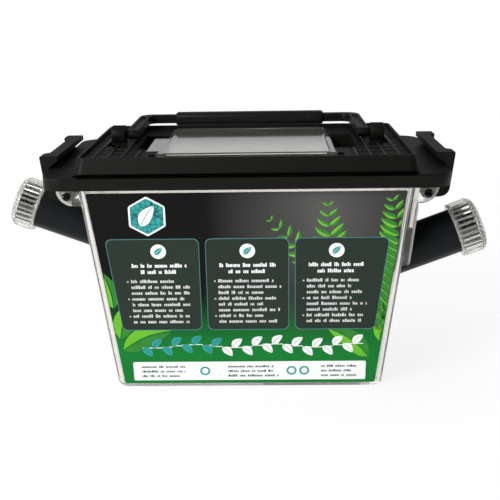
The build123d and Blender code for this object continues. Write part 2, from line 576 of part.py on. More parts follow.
def drinking_guard():
    """Slotted plate that lies over the water well."""
    step = DISH_WALL / 2 - DROP_IN_CLEAR
    length = (DISH_L - 3 * DISH_WALL) / 2 + 2 * step
    depth = DISH_D - 2 * DISH_WALL + 2 * step
    plate = RectangleRounded(length, depth, DISH_CORNER_R - DISH_WALL)
    count = int((depth - 2 * DISH_WALL) / GUARD_BAR_PITCH)
    gaps = []
    for index in range(count):
        y = (index - (count - 1) / 2) * GUARD_BAR_PITCH
        gaps.append(Pos(0, y) * Rectangle(length - 4 * DISH_WALL, GUARD_GAP_W))
    centre_x = (length - 2 * step + DISH_WALL) / 2
    return dish_place() * Pos(centre_x, 0, DISH_H - GUARD_T) * extrude(plate - gaps, GUARD_T)


def main():
    """Build every piece and write one STEP file for each."""
    pieces = {
        "tank": tank(),
        "lid": lid(),
        "window_door": window_door(),
        "handle_bail": handle_bail(),
        "handle_grip": handle_grip(),
        "front_label": front_label(),
        "feeding_dish": feeding_dish(),
        "drinking_guard": drinking_guard()}
    for name, side in (("right", 1), ("left", -1)):
        pieces["vent_panel_" + name] = vent_panel(side)
        pieces["side_clip_" + name] = side_clip(side)
        pieces["tube_" + name] = tube(side)
        pieces["tube_cap_" + name] = tube_cap(side)
    os.makedirs("parts", exist_ok=True)
    for name, piece in pieces.items():
        export_step(piece, os.path.join("parts", name + ".step"))


main()
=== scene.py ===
"""A cricket keeper box on a white table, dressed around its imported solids."""

import math
import random

import bmesh
import bpy
from mathutils import Matrix, Vector


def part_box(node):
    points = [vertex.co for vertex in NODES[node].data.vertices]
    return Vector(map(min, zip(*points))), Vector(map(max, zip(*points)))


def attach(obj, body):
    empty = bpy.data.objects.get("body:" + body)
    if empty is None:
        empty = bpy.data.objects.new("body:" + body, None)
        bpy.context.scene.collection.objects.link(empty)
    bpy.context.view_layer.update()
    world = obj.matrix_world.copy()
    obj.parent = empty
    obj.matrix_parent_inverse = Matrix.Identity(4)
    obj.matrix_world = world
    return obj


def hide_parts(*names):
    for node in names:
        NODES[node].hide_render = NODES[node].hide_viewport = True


bl_info = {
    "name": "Cricket Keeper Box",
    "version": (1, 0, 0),
    "blender": (4, 5, 0),
    "location": "3D View > Sidebar > Keeper Box",
    "description": "Gives the packed keeper box its plastics, printed label, ribbed caps and studio",
    "category": "Object",
}

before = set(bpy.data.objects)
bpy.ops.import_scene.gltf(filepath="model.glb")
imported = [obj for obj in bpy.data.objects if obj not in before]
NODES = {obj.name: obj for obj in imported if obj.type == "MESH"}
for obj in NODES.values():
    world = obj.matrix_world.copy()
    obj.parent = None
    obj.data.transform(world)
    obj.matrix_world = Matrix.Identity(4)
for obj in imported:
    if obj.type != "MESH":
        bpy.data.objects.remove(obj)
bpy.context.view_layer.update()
MM = 0.001

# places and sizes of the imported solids, in millimetres and degrees
LABEL_FOOT = (0.0, -38.385, 2.5)
LABEL_SLOPE = 95.4
LABEL_HALF_FOOT = 59.5
LABEL_HALF_TOP = 70.3
LABEL_T = 0.25
DRAFT = 6.5
SOCKET = (70.196, -20.0, 61.4)
TUBE_TILT = 20.5
TUBE_R = 10.5
STICK_OUT = {"right": 29.0, "left": 40.5}
CAP_R = 12.9
CAP_L = 12.6
CAP_BORE_R = 10.85
CAP_BORE_DEPTH = 10.0
GRILLE_TOP = 111.85
GRILLE_BAR_DROP = 0.3
# the lid's raised middle: how far it stands in from the flange at its sides and front, and its walls' lean
FLANGE_TOP = 105.6
PLATE_INSET = (14.3, 2.2)
PLATE_LEAN = 0.342
RIM_CHAMFER = 0.6
# each rib of the vent panels: its distance from the middle, and the stretches that it runs over
GRILLE_RIBS = (
    (68.0, -46.1, 46.1), (61.8, -46.1, -6.6), (61.8, 6.6, 46.1), (55.6, -46.1, 46.1), (49.4, -46.1, -19.4))
# every other bar between their slots: its place from front to back, and the stretch that it runs over
GRILLE_BARS = tuple(
    (-44.65 + 9.4 * bar, 49.4 if bar < 3 else 55.6, 72.4) for bar in (0, 1, 2, 3, 6, 7, 8, 9))
EAR_START = 80.0
EAR_BORDER_START = 34.15
# the pad round each tube socket: how far out it starts, the foot and the lean of its face, and its
# upright edges, each with the place where its bead ends
PAD_START = 70.5
PAD_FACE = (67.7, 0.11394)
PAD_EDGES = ((-33.2, -30.8), (-6.8, -9.2))

# sizes of what is added to the solids, in millimetres
CAP_RIBS = 30
CAP_GROOVE = 0.65
CAP_RIB_HEIGHT = 0.6
CAP_RIB_HALF = 0.62
CREST_HEIGHT = 0.35
CREST_TAPER = 0.5
# the strip of painted shade at the plate's foot: how far it stands off the solids, and how long its ends
# taper
SHADOW_SKIN = 0.06
SHADOW_TAPER = 2.5
BEAD_LEVELS = (89.0, 86.0, 75.0, 62.0)
BEAD_CORNER = (60.4, 59.6, 59.4)
BEAD_BEND = 0.7
BEAD_SUNK = 0.1
LABEL_HEAD = 0.65
PRINT_MARGIN = 0.35
INK_LIFT = 0.02
INK_STEP = 0.025

# how finely round shapes are divided
STEPS_PER_RIB = 12
STEPS_PER_TURN = 48
BEAD_SIDES = 10


# ---- colours and nodes

def linear(hex_colour):
    """Linear RGBA from an sRGB hex value."""
    channels = []
    for start in (1, 3, 5):
        value = int(hex_colour[start:start + 2], 16) / 255
        channels.append(value / 12.92 if value <= 0.04045 else ((value + 0.055) / 1.055) ** 2.4)
    return (*channels, 1.0)


def shaded(colour, share):
    """A colour made darker or lighter by a share."""
    return [min(channel * share, 1) for channel in colour[:3]] + [1]


def colour_prop(name, description, hex_colour):
    """A colour property whose default is an sRGB hex value."""
    return bpy.props.FloatVectorProperty(
        name=name, description=description, subtype="COLOR", size=4, min=0, max=1,
        default=linear(hex_colour))


def length_prop(name, description, millimetres):
    """A length property whose default is given in millimetres."""
    return bpy.props.FloatProperty(
        name=name, description=description, subtype="DISTANCE", unit="LENGTH", min=0,
        precision=5, default=millimetres * MM)


def share_prop(name, description, share):
    """A property between 0 and 1."""
    return bpy.props.FloatProperty(
        name=name, description=description, subtype="FACTOR", min=0, max=1, default=share)


def add_node(tree, kind, inputs=None, **settings):
    """Add a node; an input takes a value, an output socket, or a node for its first output in use."""
    made = tree.nodes.new(kind)
    for name, value in settings.items():
        setattr(made, name, value)
    for name, value in (inputs or {}).items():
        if isinstance(value, bpy.types.Node):
            value = next(socket for socket in value.outputs if socket.enabled)
        if isinstance(value, bpy.types.NodeSocket):
            tree.links.new(value, made.inputs[name])
        else:
            made.inputs[name].default_value = value
    return made


def new_material(name):
    """A material without a surface yet, its node tree, and its coordinates on the piece."""
    material = bpy.data.materials.new(name)
    material.use_nodes = True
    tree = material.node_tree
    tree.nodes.clear()
    return material, tree, add_node(tree, "ShaderNodeTexCoord").outputs["Object"]


def per_metre(millimetres):
    """Texture scale whose features are about this many millimetres apart."""
    return 1 / (millimetres * MM)


def wear(piece, material):
    """Put one material over the whole of a piece."""
    piece.data.materials.clear()
    piece.data.materials.append(material)


# ---- meshes

def link(name, data):
    """An object of the scene with this data."""
    made = bpy.data.objects.new(name, data)
    bpy.context.scene.collection.objects.link(made)
    return made


def add_piece(mesh, body, material):
    """Add a mesh, under its own name, as a piece of the box that moves with a body."""
    piece = link(mesh.name, mesh)
    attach(piece, body)
    wear(piece, material)
    return piece


def loft(bm, rows, closed=True, capped=True):
    """Faces between rows of vertices, of which a row of one is a pole; closed joins each row's ends."""
    around = max(len(row) for row in rows)
    for one, other in zip(rows, rows[1:]):
        for left in range(around if closed else around - 1):
            right = (left + 1) % around
            if len(one) == 1:
                corners = (one[0], other[left], other[right])
            elif len(other) == 1:
                corners = (one[left], other[0], one[right])
            else:
                corners = (one[left], other[left], other[right], one[right])
            bm.faces.new(corners)
    if capped:
        bm.faces.new(rows[0])
        bm.faces.new(rows[-1])


def flat_mesh(name, bm):
    """The bmesh as a mesh of flat faces."""
    mesh = bpy.data.meshes.new(name)
    bm.to_mesh(mesh)
    bm.free()
    return mesh


def smooth_mesh(name, bm, degrees):
    """The bmesh as a mesh with its faces outward, smooth except over edges sharper than an angle."""
    bmesh.ops.recalc_face_normals(bm, faces=bm.faces)
    mesh = flat_mesh(name, bm)
    mesh.shade_smooth()
    mesh.set_sharp_from_angle(angle=math.radians(degrees))
    return mesh


def tube_place(side):
    """Place on a tube's axis, where its cap's mouth is, with Z out along the tube."""
    tilt = math.radians(TUBE_TILT)
    along = STICK_OUT[side]
    x, y, z = SOCKET
    centre = Vector((x + along * math.cos(tilt), y, z + along * math.sin(tilt))) * MM
    place = Matrix.Translation(centre) @ Matrix.Rotation(math.pi / 2 - tilt, 4, "Y")
    turn = 0 if side == "right" else math.pi
    return Matrix.Rotation(turn, 4, "Z") @ place


def ribbed_cap_mesh(name, place):
    """A clear screw cap: one closed skin from its end's middle, over ribs and bead, to its floor.

    Its frost attribute is where the plastic scatters light: the ribs' crests, the shoulder and the mouth.
    """
    core = CAP_R - CAP_GROOVE
    mouth = (CAP_R + CAP_BORE_R) / 2
    # radius, distance from the mouth, share of the ribs' height, frost
    profile = (
        (0.0, CAP_L, 0, 0.3), (core - 3.6, CAP_L, 0, 0.3), (core - 2.5, CAP_L - 0.1, 0, 0.6),
        (core - 1.7, CAP_L - 0.5, 0.3, 0.8), (core - 1.0, CAP_L - 1.1, 0.6, 0.8),
        (core - 0.35, CAP_L - 1.9, 0.8, 0.7), (core, CAP_L - 2.8, 1, 0.4), (core, CAP_L - 3.3, 1, 0.0),
        (core, CAP_L - 5.0, 1, 0.0), (core, CAP_L - 8.0, 1, 0.0), (core, 2.1, 1, 0.0),
        (core, 1.6, 0.9, 0.2), (core + 0.15, 1.3, 0.3, 0.6), (CAP_R - 0.12, 1.1, 0, 0.9),
        (CAP_R, 0.8, 0, 0.9), (CAP_R - 0.04, 0.35, 0, 0.9), (CAP_R - 0.3, 0.03, 0, 0.9),
        (mouth, 0.0, 0, 0.9), (CAP_BORE_R + 0.25, 0.03, 0, 0.9), (CAP_BORE_R, 0.3, 0, 0.5),
        (CAP_BORE_R, 3.0, 0, 0.0), (CAP_BORE_R, 6.0, 0, 0.0), (CAP_BORE_R, CAP_BORE_DEPTH - 0.4, 0, 0.0),
        (CAP_BORE_R - 0.4, CAP_BORE_DEPTH, 0, 0.0), (0.0, CAP_BORE_DEPTH, 0, 0.0))
    around = CAP_RIBS * STEPS_PER_RIB
    bm = bmesh.new()
    frost = bm.verts.layers.float.new("frost")
    rings = []
    for radius, height, share, bloom in profile:
        ring = []
        for step in range(around if radius else 1):
            angle = 2 * math.pi * step / around
            off = abs((step % STEPS_PER_RIB) / STEPS_PER_RIB - 0.5) * 2 * math.pi * core / CAP_RIBS
            rib = math.cos(math.pi / 2 * min(off / CAP_RIB_HALF, 1)) ** 0.6
            reach = radius + CAP_RIB_HEIGHT * share * rib
            spot = Vector((reach * math.cos(angle), reach * math.sin(angle), height)) * MM
            ring.append(bm.verts.new(place @ spot))
            ring[-1][frost] = max(bloom, share * rib ** 2)
        rings.append(ring)
    loft(bm, rings, capped=False)
    return smooth_mesh(name, bm, 40)


def socket_bead_mesh(name, turn, radius):
    """Thin beads down both upright edges of a tube socket's pad and round its lower corners."""
    foot, lean = PAD_FACE
    out = Vector((1.0, 0.0, 0.0))
    bm = bmesh.new()
    for edge, corner in PAD_EDGES:
        bend = BEAD_BEND if corner > edge else -BEAD_BEND
        path = [(edge, level) for level in BEAD_LEVELS]
        path += zip((edge + bend * 0.3, edge + bend, corner), BEAD_CORNER)
        rings = []
        for step, (along, height) in enumerate(path):
            middle = Vector((foot + lean * height - BEAD_SUNK, along, height)) * MM
            before = Vector(path[max(step - 1, 0)])
            after = Vector(path[min(step + 1, len(path) - 1)])
            run = (after - before).normalized()
            aside = Vector((0.0, -run.y, run.x))
            thin = 0.3 if step in (0, len(path) - 1) else 1.0
            ring = []
            for side in range(BEAD_SIDES):
                angle = 2 * math.pi * side / BEAD_SIDES
                spot = middle + (aside * math.cos(angle) + out * math.sin(angle)) * radius * thin
                spot.x, spot.y = spot.x * turn, spot.y * turn
                ring.append(bm.verts.new(spot))
            rings.append(ring)
        loft(bm, rings)
    return smooth_mesh(name, bm, 60)


def thread_mesh(name, place, pitch, height):
    """A round screw thread on the tube's end, fading in and out at its ends."""
    start, end = 1.2 * MM, (CAP_BORE_DEPTH - 0.9) * MM
    turns = (end - start) / pitch
    steps = int(turns * STEPS_PER_TURN)
    # distance along the tube, as a share of the thread's width, and share of its height
    section = ((-0.5, -0.06), (-0.28, 0.7), (0.0, 1.0), (0.28, 0.7), (0.5, -0.06))
    bm = bmesh.new()
    rows = []
    for step in range(steps + 1):
        share = step / steps
        fade = min(1.0, 8 * share, 8 * (1 - share))
        angle = 2 * math.pi * turns * share
        row = []
        for across, rise in section:
            radius = TUBE_R * MM + height * rise * fade - 0.02 * MM
            along = start + (end - start) * share + across * 1.3 * MM
            spot = Vector((radius * math.cos(angle), radius * math.sin(angle), along))
            row.append(bm.verts.new(place @ spot))
        rows.append(row)
    loft(bm, rows, closed=False, capped=False)
    return smooth_mesh(name, bm, 50)


def crest_mesh(name, turn, width):
    """Low rounded crests along the ribs and bars of a vent panel; turn is 1 at the right, -1 at the left."""
    # distance across, as a share of the width, and share of the height
    section = ((-0.5, -0.2), (-0.32, 0.55), (-0.12, 0.95), (0.12, 0.95), (0.32, 0.55), (0.5, -0.2))
    runs = [(run, GRILLE_TOP, False) for run in GRILLE_RIBS]
    runs += [(run, GRILLE_TOP - GRILLE_BAR_DROP, True) for run in GRILLE_BARS]
    bm = bmesh.new()
    for (middle, start, end), top, crosswise in runs:
        rows = []
        for place, share in ((start, 0), (start + CREST_TAPER, 1), (end - CREST_TAPER, 1), (end, 0)):
            row = []
            for off, up in section:
                height = (top + CREST_HEIGHT * (up * share if up > 0 else up)) * MM
                side = middle * MM + off * width
                spot = (place * MM, side) if crosswise else (side, place * MM)
                row.append(bm.verts.new((turn * spot[0], spot[1], height)))
            rows.append(row)
        loft(bm, rows)
    return smooth_mesh(name, bm, 50)


def foot_shadow_mesh(name, turn):
    """A dark matt strip of painted shade along the foot of the lid's raised middle and over the flange's
    edge; turn is 1 at the back and -1 at the front.
    """
    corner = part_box("lid")[1]
    half = corner[0] / MM - PLATE_INSET[0]
    rim = PLATE_INSET[1]
    foot = corner[1] / MM - rim
    # distance out from the foot and height over the rim, round the section
    section = (
        (SHADOW_SKIN - 0.95 * PLATE_LEAN, 0.95), (SHADOW_SKIN, SHADOW_SKIN),
        (rim - RIM_CHAMFER, SHADOW_SKIN), (rim, SHADOW_SKIN - RIM_CHAMFER), (rim - 0.5, -RIM_CHAMFER),
        (-0.2, -0.3), (-0.7, 0.7))
    ends = (-half, 0.15), (SHADOW_TAPER - half, 1.0), (half - SHADOW_TAPER, 1.0), (half, 0.15)
    bm = bmesh.new()
    rows = []
    for along, share in ends:
        spots = [(along, turn * (foot + out * share), FLANGE_TOP + up * share) for out, up in section]
        rows.append([bm.verts.new(Vector(spot) * MM) for spot in spots])
    loft(bm, rows)
    return smooth_mesh(name, bm, 30)


# ---- printed shapes

def label_place():
    """From the label's own plane (across, up the slope, outward) to the frame."""
    lean = Matrix.Rotation(math.radians(90 + DRAFT), 4, "X")
    return Matrix.Translation(Vector(LABEL_FOOT) * MM) @ lean


def label_outline(margin):
    """Corners of the label, drawn in by a margin."""
    low = LABEL_HALF_FOOT - margin
    high = LABEL_HALF_TOP - margin
    return [(-low, margin), (low, margin), (high, LABEL_SLOPE - margin), (-high, LABEL_SLOPE - margin)]


def clip(polygon, outline):
    """The part of a polygon inside a convex outline."""
    for start, end in zip(outline, outline[1:] + outline[:1]):
        run, rise = end[0] - start[0], end[1] - start[1]
        depths = [run * (point[1] - start[1]) - rise * (point[0] - start[0]) for point in polygon]
        kept = []
        for one, other, here, there in zip(
                polygon, polygon[1:] + polygon[:1], depths, depths[1:] + depths[:1]):
            if here >= 0:
                kept.append(one)
            if (here >= 0) != (there >= 0):
                share = here / (here - there)
                kept.append(tuple(a + (b - a) * share for a, b in zip(one, other)))
        polygon = kept
        if len(polygon) < 3:
            return []
    return polygon


def rounded(corners, radius):
    """A convex polygon with its corners rounded."""
    steps = 6
    points = []
    count = len(corners)
    for index in range(count):
        before = Vector(corners[index - 1])
        corner = Vector(corners[index])
        after = Vector(corners[(index + 1) % count])
        to_before = (before - corner).normalized()
        to_after = (after - corner).normalized()
        half = to_before.angle(to_after) / 2
        reach = radius / math.tan(half)
        centre = corner + (to_before + to_after).normalized() * radius / math.sin(half)
        first = corner + to_before * reach - centre
        last = corner + to_after * reach - centre
        for step in range(steps + 1):
            share = step / steps
            spoke = (first * (1 - share) + last * share).normalized() * radius
            points.append(tuple(centre + spoke))
    return points


def circle(across, up, radius, steps=28):
    """A round shape."""
    turns = [2 * math.pi * step / steps for step in range(steps)]
    return [(across + radius * math.cos(turn), up + radius * math.sin(turn)) for turn in turns]


def ribbon(outer, inner):
    """Quads between two loops with the same number of points."""
    count = len(outer)
    return [[outer[i], outer[(i + 1) % count], inner[(i + 1) % count], inner[i]] for i in range(count)]


def leaf(base, tip, width, sway=0.0, steps=9):
    """The lighter and the darker half of a leaf, as lists of quads with a thin rib between."""
    base, tip = Vector(base), Vector(tip)
    along = tip - base
    across = Vector((-along.y, along.x)).normalized()
    middle, left, right = [], [], []
    for step in range(steps + 1):
        share = step / steps
        centre = base + along * share + across * sway * math.sin(math.pi * share)
        half = width / 2 * math.sin(math.pi * share ** 0.8) ** 0.85 if 0 < step < steps else 0.0
        middle.append(centre)
        left.append(centre + across * half)
        right.append(centre - across * half)
    rib = across * width * 0.03
    lighter, darker = [], []
    for i in range(steps):
        quad = (middle[i], middle[i + 1], left[i + 1], left[i])
        lighter.append([tuple(point + rib) for point in quad])
        quad = (middle[i], right[i], right[i + 1], middle[i + 1])
        darker.append([tuple(point - rib) for point in quad])
    return lighter, darker


def frond(base, tip, sway, pairs, length):
    """Leaflets in pairs along a bent stem."""
    base, tip = Vector(base), Vector(tip)
    along = tip - base
    across = Vector((-along.y, along.x)).normalized()
    lighter, darker = [], []
    for pair in range(pairs):
        share = 0.1 + 0.88 * pair / (pairs - 1)
        spot = base + along * share + across * sway * math.sin(math.pi * share)
        slope = along.normalized() + across * sway * math.pi * math.cos(math.pi * share) / along.length
        slope.normalize()
        reach = length * math.sin(math.pi * (0.22 + 0.74 * share)) ** 0.8
        for side in (1, -1):
            out = (slope * 0.62 + Vector((-slope.y, slope.x)) * side * 0.78) * reach
            one, other = leaf(spot, spot + out, reach * 0.34, 0.05 * reach * side, 5)
            lighter += one
            darker += other
    return lighter, darker


def greeked_row(left, right, up, height, chooser, gap=1.15):
    """A row of small print as plain upright blocks: no letters, only the rhythm of words."""
    blocks = []
    at = left
    while at < right:
        for _ in range(chooser.randint(2, 8)):
            width = chooser.choice((0.45, 0.7, 0.7, 0.95))
            if at + width > right:
                return blocks
            tall = height * chooser.choice((0.72, 0.72, 0.72, 1.0))
            blocks.append([(at, up), (at + width, up), (at + width, up + tall), (at, up + tall)])
            at += width + 0.22
        at += gap
    return blocks


def on_label(bm, outline, lift):
    """Vertices along an outline on the label's plane, lifted off it."""
    place = label_place()
    return [bm.verts.new(place @ (Vector((across, up, lift)) * MM)) for across, up in outline]


def print_mesh(name, polygons, layer):
    """Printed shapes as one thin layer a little above the label."""
    outline = label_outline(PRINT_MARGIN)
    lift = LABEL_T + INK_LIFT + INK_STEP * layer
    bm = bmesh.new()
    for polygon in polygons:
        kept = clip(polygon, outline)
        if kept:
            bm.faces.new(on_label(bm, kept, lift))
    bm.normal_update()
    for face in bm.faces:
        if face.normal.y > 0:
            face.normal_flip()
    return flat_mesh(name, bm)


def label_head_mesh(name):
    """The film's upper edge, which reaches a little further up than the solid."""
    low, high = LABEL_SLOPE - 1.2, LABEL_SLOPE + LABEL_HEAD
    half = LABEL_HALF_TOP + 0.02
    cut = 0.5
    outline = (
        (-half, low), (half, low), (half, high - cut), (half - cut, high), (cut - half, high),
        (-half, high - cut))
    bm = bmesh.new()
    loft(bm, [on_label(bm, outline, lift) for lift in (0.05, LABEL_T + 0.004)])
    bmesh.ops.recalc_face_normals(bm, faces=bm.faces)
    return flat_mesh(name, bm)


# ---- what a user can change

class BlackPlasticSettings(bpy.types.PropertyGroup):
    colour: colour_prop("Colour", "Moulded black of lid, clips and handle", "#0d0d0b")
    grip: colour_prop("Grip", "Softer black of the grip and the dish", "#121212")
    roughness: share_prop("Roughness", "Of the spark-eroded matt finish", 0.5)
    grain: length_prop("Grain", "Distance between pits of the matt finish", 0.9)
    edge: length_prop("Edge", "Width of the softened edges", 0.25)
    # the crests' lighter black is a painted highlight
    crest: length_prop("Crest", "Width of the rubbed crests on the vent panels", 0.7)


class ClearPlasticSettings(bpy.types.PropertyGroup):
    tint: colour_prop("Tint", "Body colour of the clear polystyrene", "#f3f1ec")
    door_tint: colour_prop("Door tint", "Body colour of the clear window door", "#dedfda")
    roughness: share_prop("Roughness", "Of the polished surfaces", 0.04)
    ripple: length_prop("Ripple", "Width of the flow ripples", 2.6)
    bead: length_prop("Bead", "Radius of the beads beside the tube sockets", 0.7)


class TubeSettings(bpy.types.PropertyGroup):
    colour: colour_prop("Colour", "Extruded black of the tubes", "#141618")
    roughness: share_prop("Roughness", "Of the drawn surface", 0.36)
    thread_pitch: length_prop("Thread pitch", "Rise of the thread in one turn", 2.6)
    thread_height: length_prop("Thread height", "How far the thread stands out", 0.28)


class LabelSettings(bpy.types.PropertyGroup):
    ground: colour_prop("Ground", "Charcoal of the upper part", "#0c0c0c")
    glow: colour_prop("Glow", "Lighter patch in the upper part", "#555453")
    foot: colour_prop("Foot", "Green of the lower part", "#12772f")
    leaf_light: colour_prop("Leaf, light", "Sunny half of the leaves", "#6cbf2a")
    leaf_dark: colour_prop("Leaf, dark", "Shaded half of the leaves", "#2f8a2c")
    panel: colour_prop("Panel", "Dark panels behind the small print", "#17241c")
    outline: colour_prop("Outline", "Thin outline of the panels", "#4d7f80")
    ink: colour_prop("Ink", "Small print and white shapes", "#f6f8f6")
    accent: colour_prop("Accent", "Teal of badge and vine", "#2a9a97")
    accent_dark: colour_prop("Accent, dark", "Lines in the badge", "#0d4f4f")
    strip_ink: colour_prop("Strip ink", "Small print of the foot strip", "#3a3d3d")


class StageSettings(bpy.types.PropertyGroup):
    floor: colour_prop("Floor", "Colour of floor and background", "#ffffff")
    ceiling: colour_prop("Ceiling", "Colour of the room above the backdrop", "#74777b")
    front: colour_prop("Front", "Colour of the room behind the camera", "#3a3b3e")
    key_power: bpy.props.FloatProperty(
        name="Key light", description="Power of the soft light at the front left", default=21.0, min=0,
        unit="POWER")
    top_power: bpy.props.FloatProperty(
        name="Top light", description="Power of the large overhead light", default=6.0, min=0, unit="POWER")
    lens: bpy.props.FloatProperty(
        name="Lens", description="Focal length", default=64.54, min=1, unit="CAMERA")


# ---- plastics

def moulded_polypropylene(settings, name, colour, smoother=0.0, gloss=0.12):
    """Injection-moulded black polypropylene with a spark-eroded matt finish.

    The eye gets a soft, slightly uneven sheen on faces seen at a low angle.
    """
    material, tree, place = new_material(name)
    # real pits are about 0.3 mm apart: drawn coarser so that they show
    grain = add_node(tree, "ShaderNodeTexNoise", {
        "Vector": place, "Scale": per_metre(settings.grain / MM), "Detail": 4.0})
    cloud = add_node(tree, "ShaderNodeTexNoise", {"Vector": place, "Scale": per_metre(28), "Detail": 2.0})
    roughness = settings.roughness - smoother
    sheen = add_node(tree, "ShaderNodeMapRange", {
        "Value": cloud, "To Min": roughness - 0.05, "To Max": roughness + 0.06})
    tone = add_node(tree, "ShaderNodeMix", {
        "Factor": grain, "A": colour, "B": shaded(colour, 1.35)}, data_type="RGBA")
    relief = add_node(tree, "ShaderNodeBump", {"Height": grain, "Strength": 0.12, "Distance": 0.1 * MM})
    plastic = add_node(tree, "ShaderNodeBsdfPrincipled", {
        "Base Color": tone, "Roughness": sheen, "IOR": 1.49, "Specular IOR Level": gloss, "Normal": relief})
    add_node(tree, "ShaderNodeOutputMaterial", {"Surface": plastic})
    return material


def clear_polystyrene(settings, name, tint, rougher=0.0, ripple_strength=0.05, haze=0.05):
    """Clear general-purpose polystyrene, moulded in a polished tool.

    The eye gets bright and dark streaks where walls and edges bend the light, under a faint white haze.
    Lamps shine through, as they do through a thin wall.
    """
    material, tree, place = new_material(name)
    # flow ripples run up the wall, from the gate in the base to the rim
    stretched = add_node(tree, "ShaderNodeMapping", {"Vector": place, "Scale": (1.0, 1.0, 0.22)})
    flow = add_node(tree, "ShaderNodeTexNoise", {
        "Vector": stretched, "Scale": per_metre(settings.ripple / MM), "Detail": 1.5})
    relief = add_node(tree, "ShaderNodeBump", {
        "Height": flow, "Strength": ripple_strength, "Distance": 0.3 * MM})
    plastic = add_node(tree, "ShaderNodeBsdfPrincipled", {
        "Base Color": tint, "Roughness": settings.roughness + rougher, "IOR": 1.59,
        "Transmission Weight": 1.0 - haze, "Normal": relief})
    through = add_node(tree, "ShaderNodeBsdfTransparent", {"Color": tint})
    path = add_node(tree, "ShaderNodeLightPath")
    both = add_node(tree, "ShaderNodeMixShader", {
        "Fac": path.outputs["Is Shadow Ray"], 1: plastic, 2: through})
    add_node(tree, "ShaderNodeOutputMaterial", {"Surface": both})
    return material


def find_node(tree, kind):
    """The node of a kind that a material has one of."""
    return next(node for node in tree.nodes if node.type == kind)


def frost_ears(material, settings, haze):
    """Blasted finish on the ears that hold the clips, and stronger flow ripples beside the tube sockets."""
    tree = material.node_tree
    plastic = find_node(tree, "BSDF_PRINCIPLED").inputs
    relief = find_node(tree, "BUMP").inputs
    place = find_node(tree, "TEX_COORD").outputs["Object"]
    spot = add_node(tree, "ShaderNodeSeparateXYZ", {"Vector": place})
    across = add_node(tree, "ShaderNodeMath", {0: spot.outputs["X"]}, operation="ABSOLUTE")
    along = add_node(tree, "ShaderNodeMath", {0: spot.outputs["Y"]}, operation="ABSOLUTE")
    # what changes, where and over how many millimetres, and its value before and after
    changes = (
        (plastic["Roughness"], EAR_START, 1.0, settings.roughness + 0.03, 0.42),
        (plastic["Transmission Weight"], EAR_START, 1.0, 1 - haze, 0.9 - haze),
        (relief["Strength"], PAD_START, 3.0, 0.05, 0.35))
    for socket, start, width, low, high in changes:
        amount = add_node(tree, "ShaderNodeMapRange", {
            "Value": across, "From Min": start * MM, "From Max": (start + width) * MM,
            "To Min": low, "To Max": high})
        tree.links.new(amount.outputs["Result"], socket)
    # the raised border of each ear is thicker, and whiter still
    border = add_node(tree, "ShaderNodeMapRange", {
        "Value": along, "From Min": EAR_BORDER_START * MM, "From Max": (EAR_BORDER_START + 0.1) * MM,
        "To Min": 1.0, "To Max": 0.72})
    on_ear = add_node(tree, "ShaderNodeMath", {0: across, 1: EAR_START * MM}, operation="GREATER_THAN")
    dimmed = add_node(tree, "ShaderNodeMix", {"Factor": on_ear, "A": 1.0, "B": border}, data_type="FLOAT")
    whole = plastic["Transmission Weight"].links[0].from_socket
    weight = add_node(tree, "ShaderNodeMath", {0: whole, 1: dimmed}, operation="MULTIPLY")
    tree.links.new(weight.outputs["Value"], plastic["Transmission Weight"])


def frost_ribs(material, haze, most):
    """More scatter where a piece's frost attribute says so."""
    tree = material.node_tree
    frost = add_node(tree, "ShaderNodeAttribute", attribute_name="frost")
    clear = add_node(tree, "ShaderNodeMapRange", {
        "Value": frost.outputs["Fac"], "To Min": 1 - haze, "To Max": 1 - most})
    tree.links.new(clear.outputs["Result"], find_node(tree, "BSDF_PRINCIPLED").inputs["Transmission Weight"])


def extruded_polyethylene(settings):
    """Extruded black polyethylene tube, drawn through a die.

    The eye gets a long soft blue-grey sheen that is a little uneven along the tube.
    """
    material, tree, place = new_material("extruded_polyethylene")
    cloud = add_node(tree, "ShaderNodeTexNoise", {"Vector": place, "Scale": per_metre(9), "Detail": 3.0})
    sheen = add_node(tree, "ShaderNodeMapRange", {
        "Value": cloud, "To Min": settings.roughness - 0.04, "To Max": settings.roughness + 0.05})
    plastic = add_node(tree, "ShaderNodeBsdfPrincipled", {
        "Base Color": settings.colour, "Roughness": sheen, "IOR": 1.52, "Specular IOR Level": 0.1})
    add_node(tree, "ShaderNodeOutputMaterial", {"Surface": plastic})
    return material


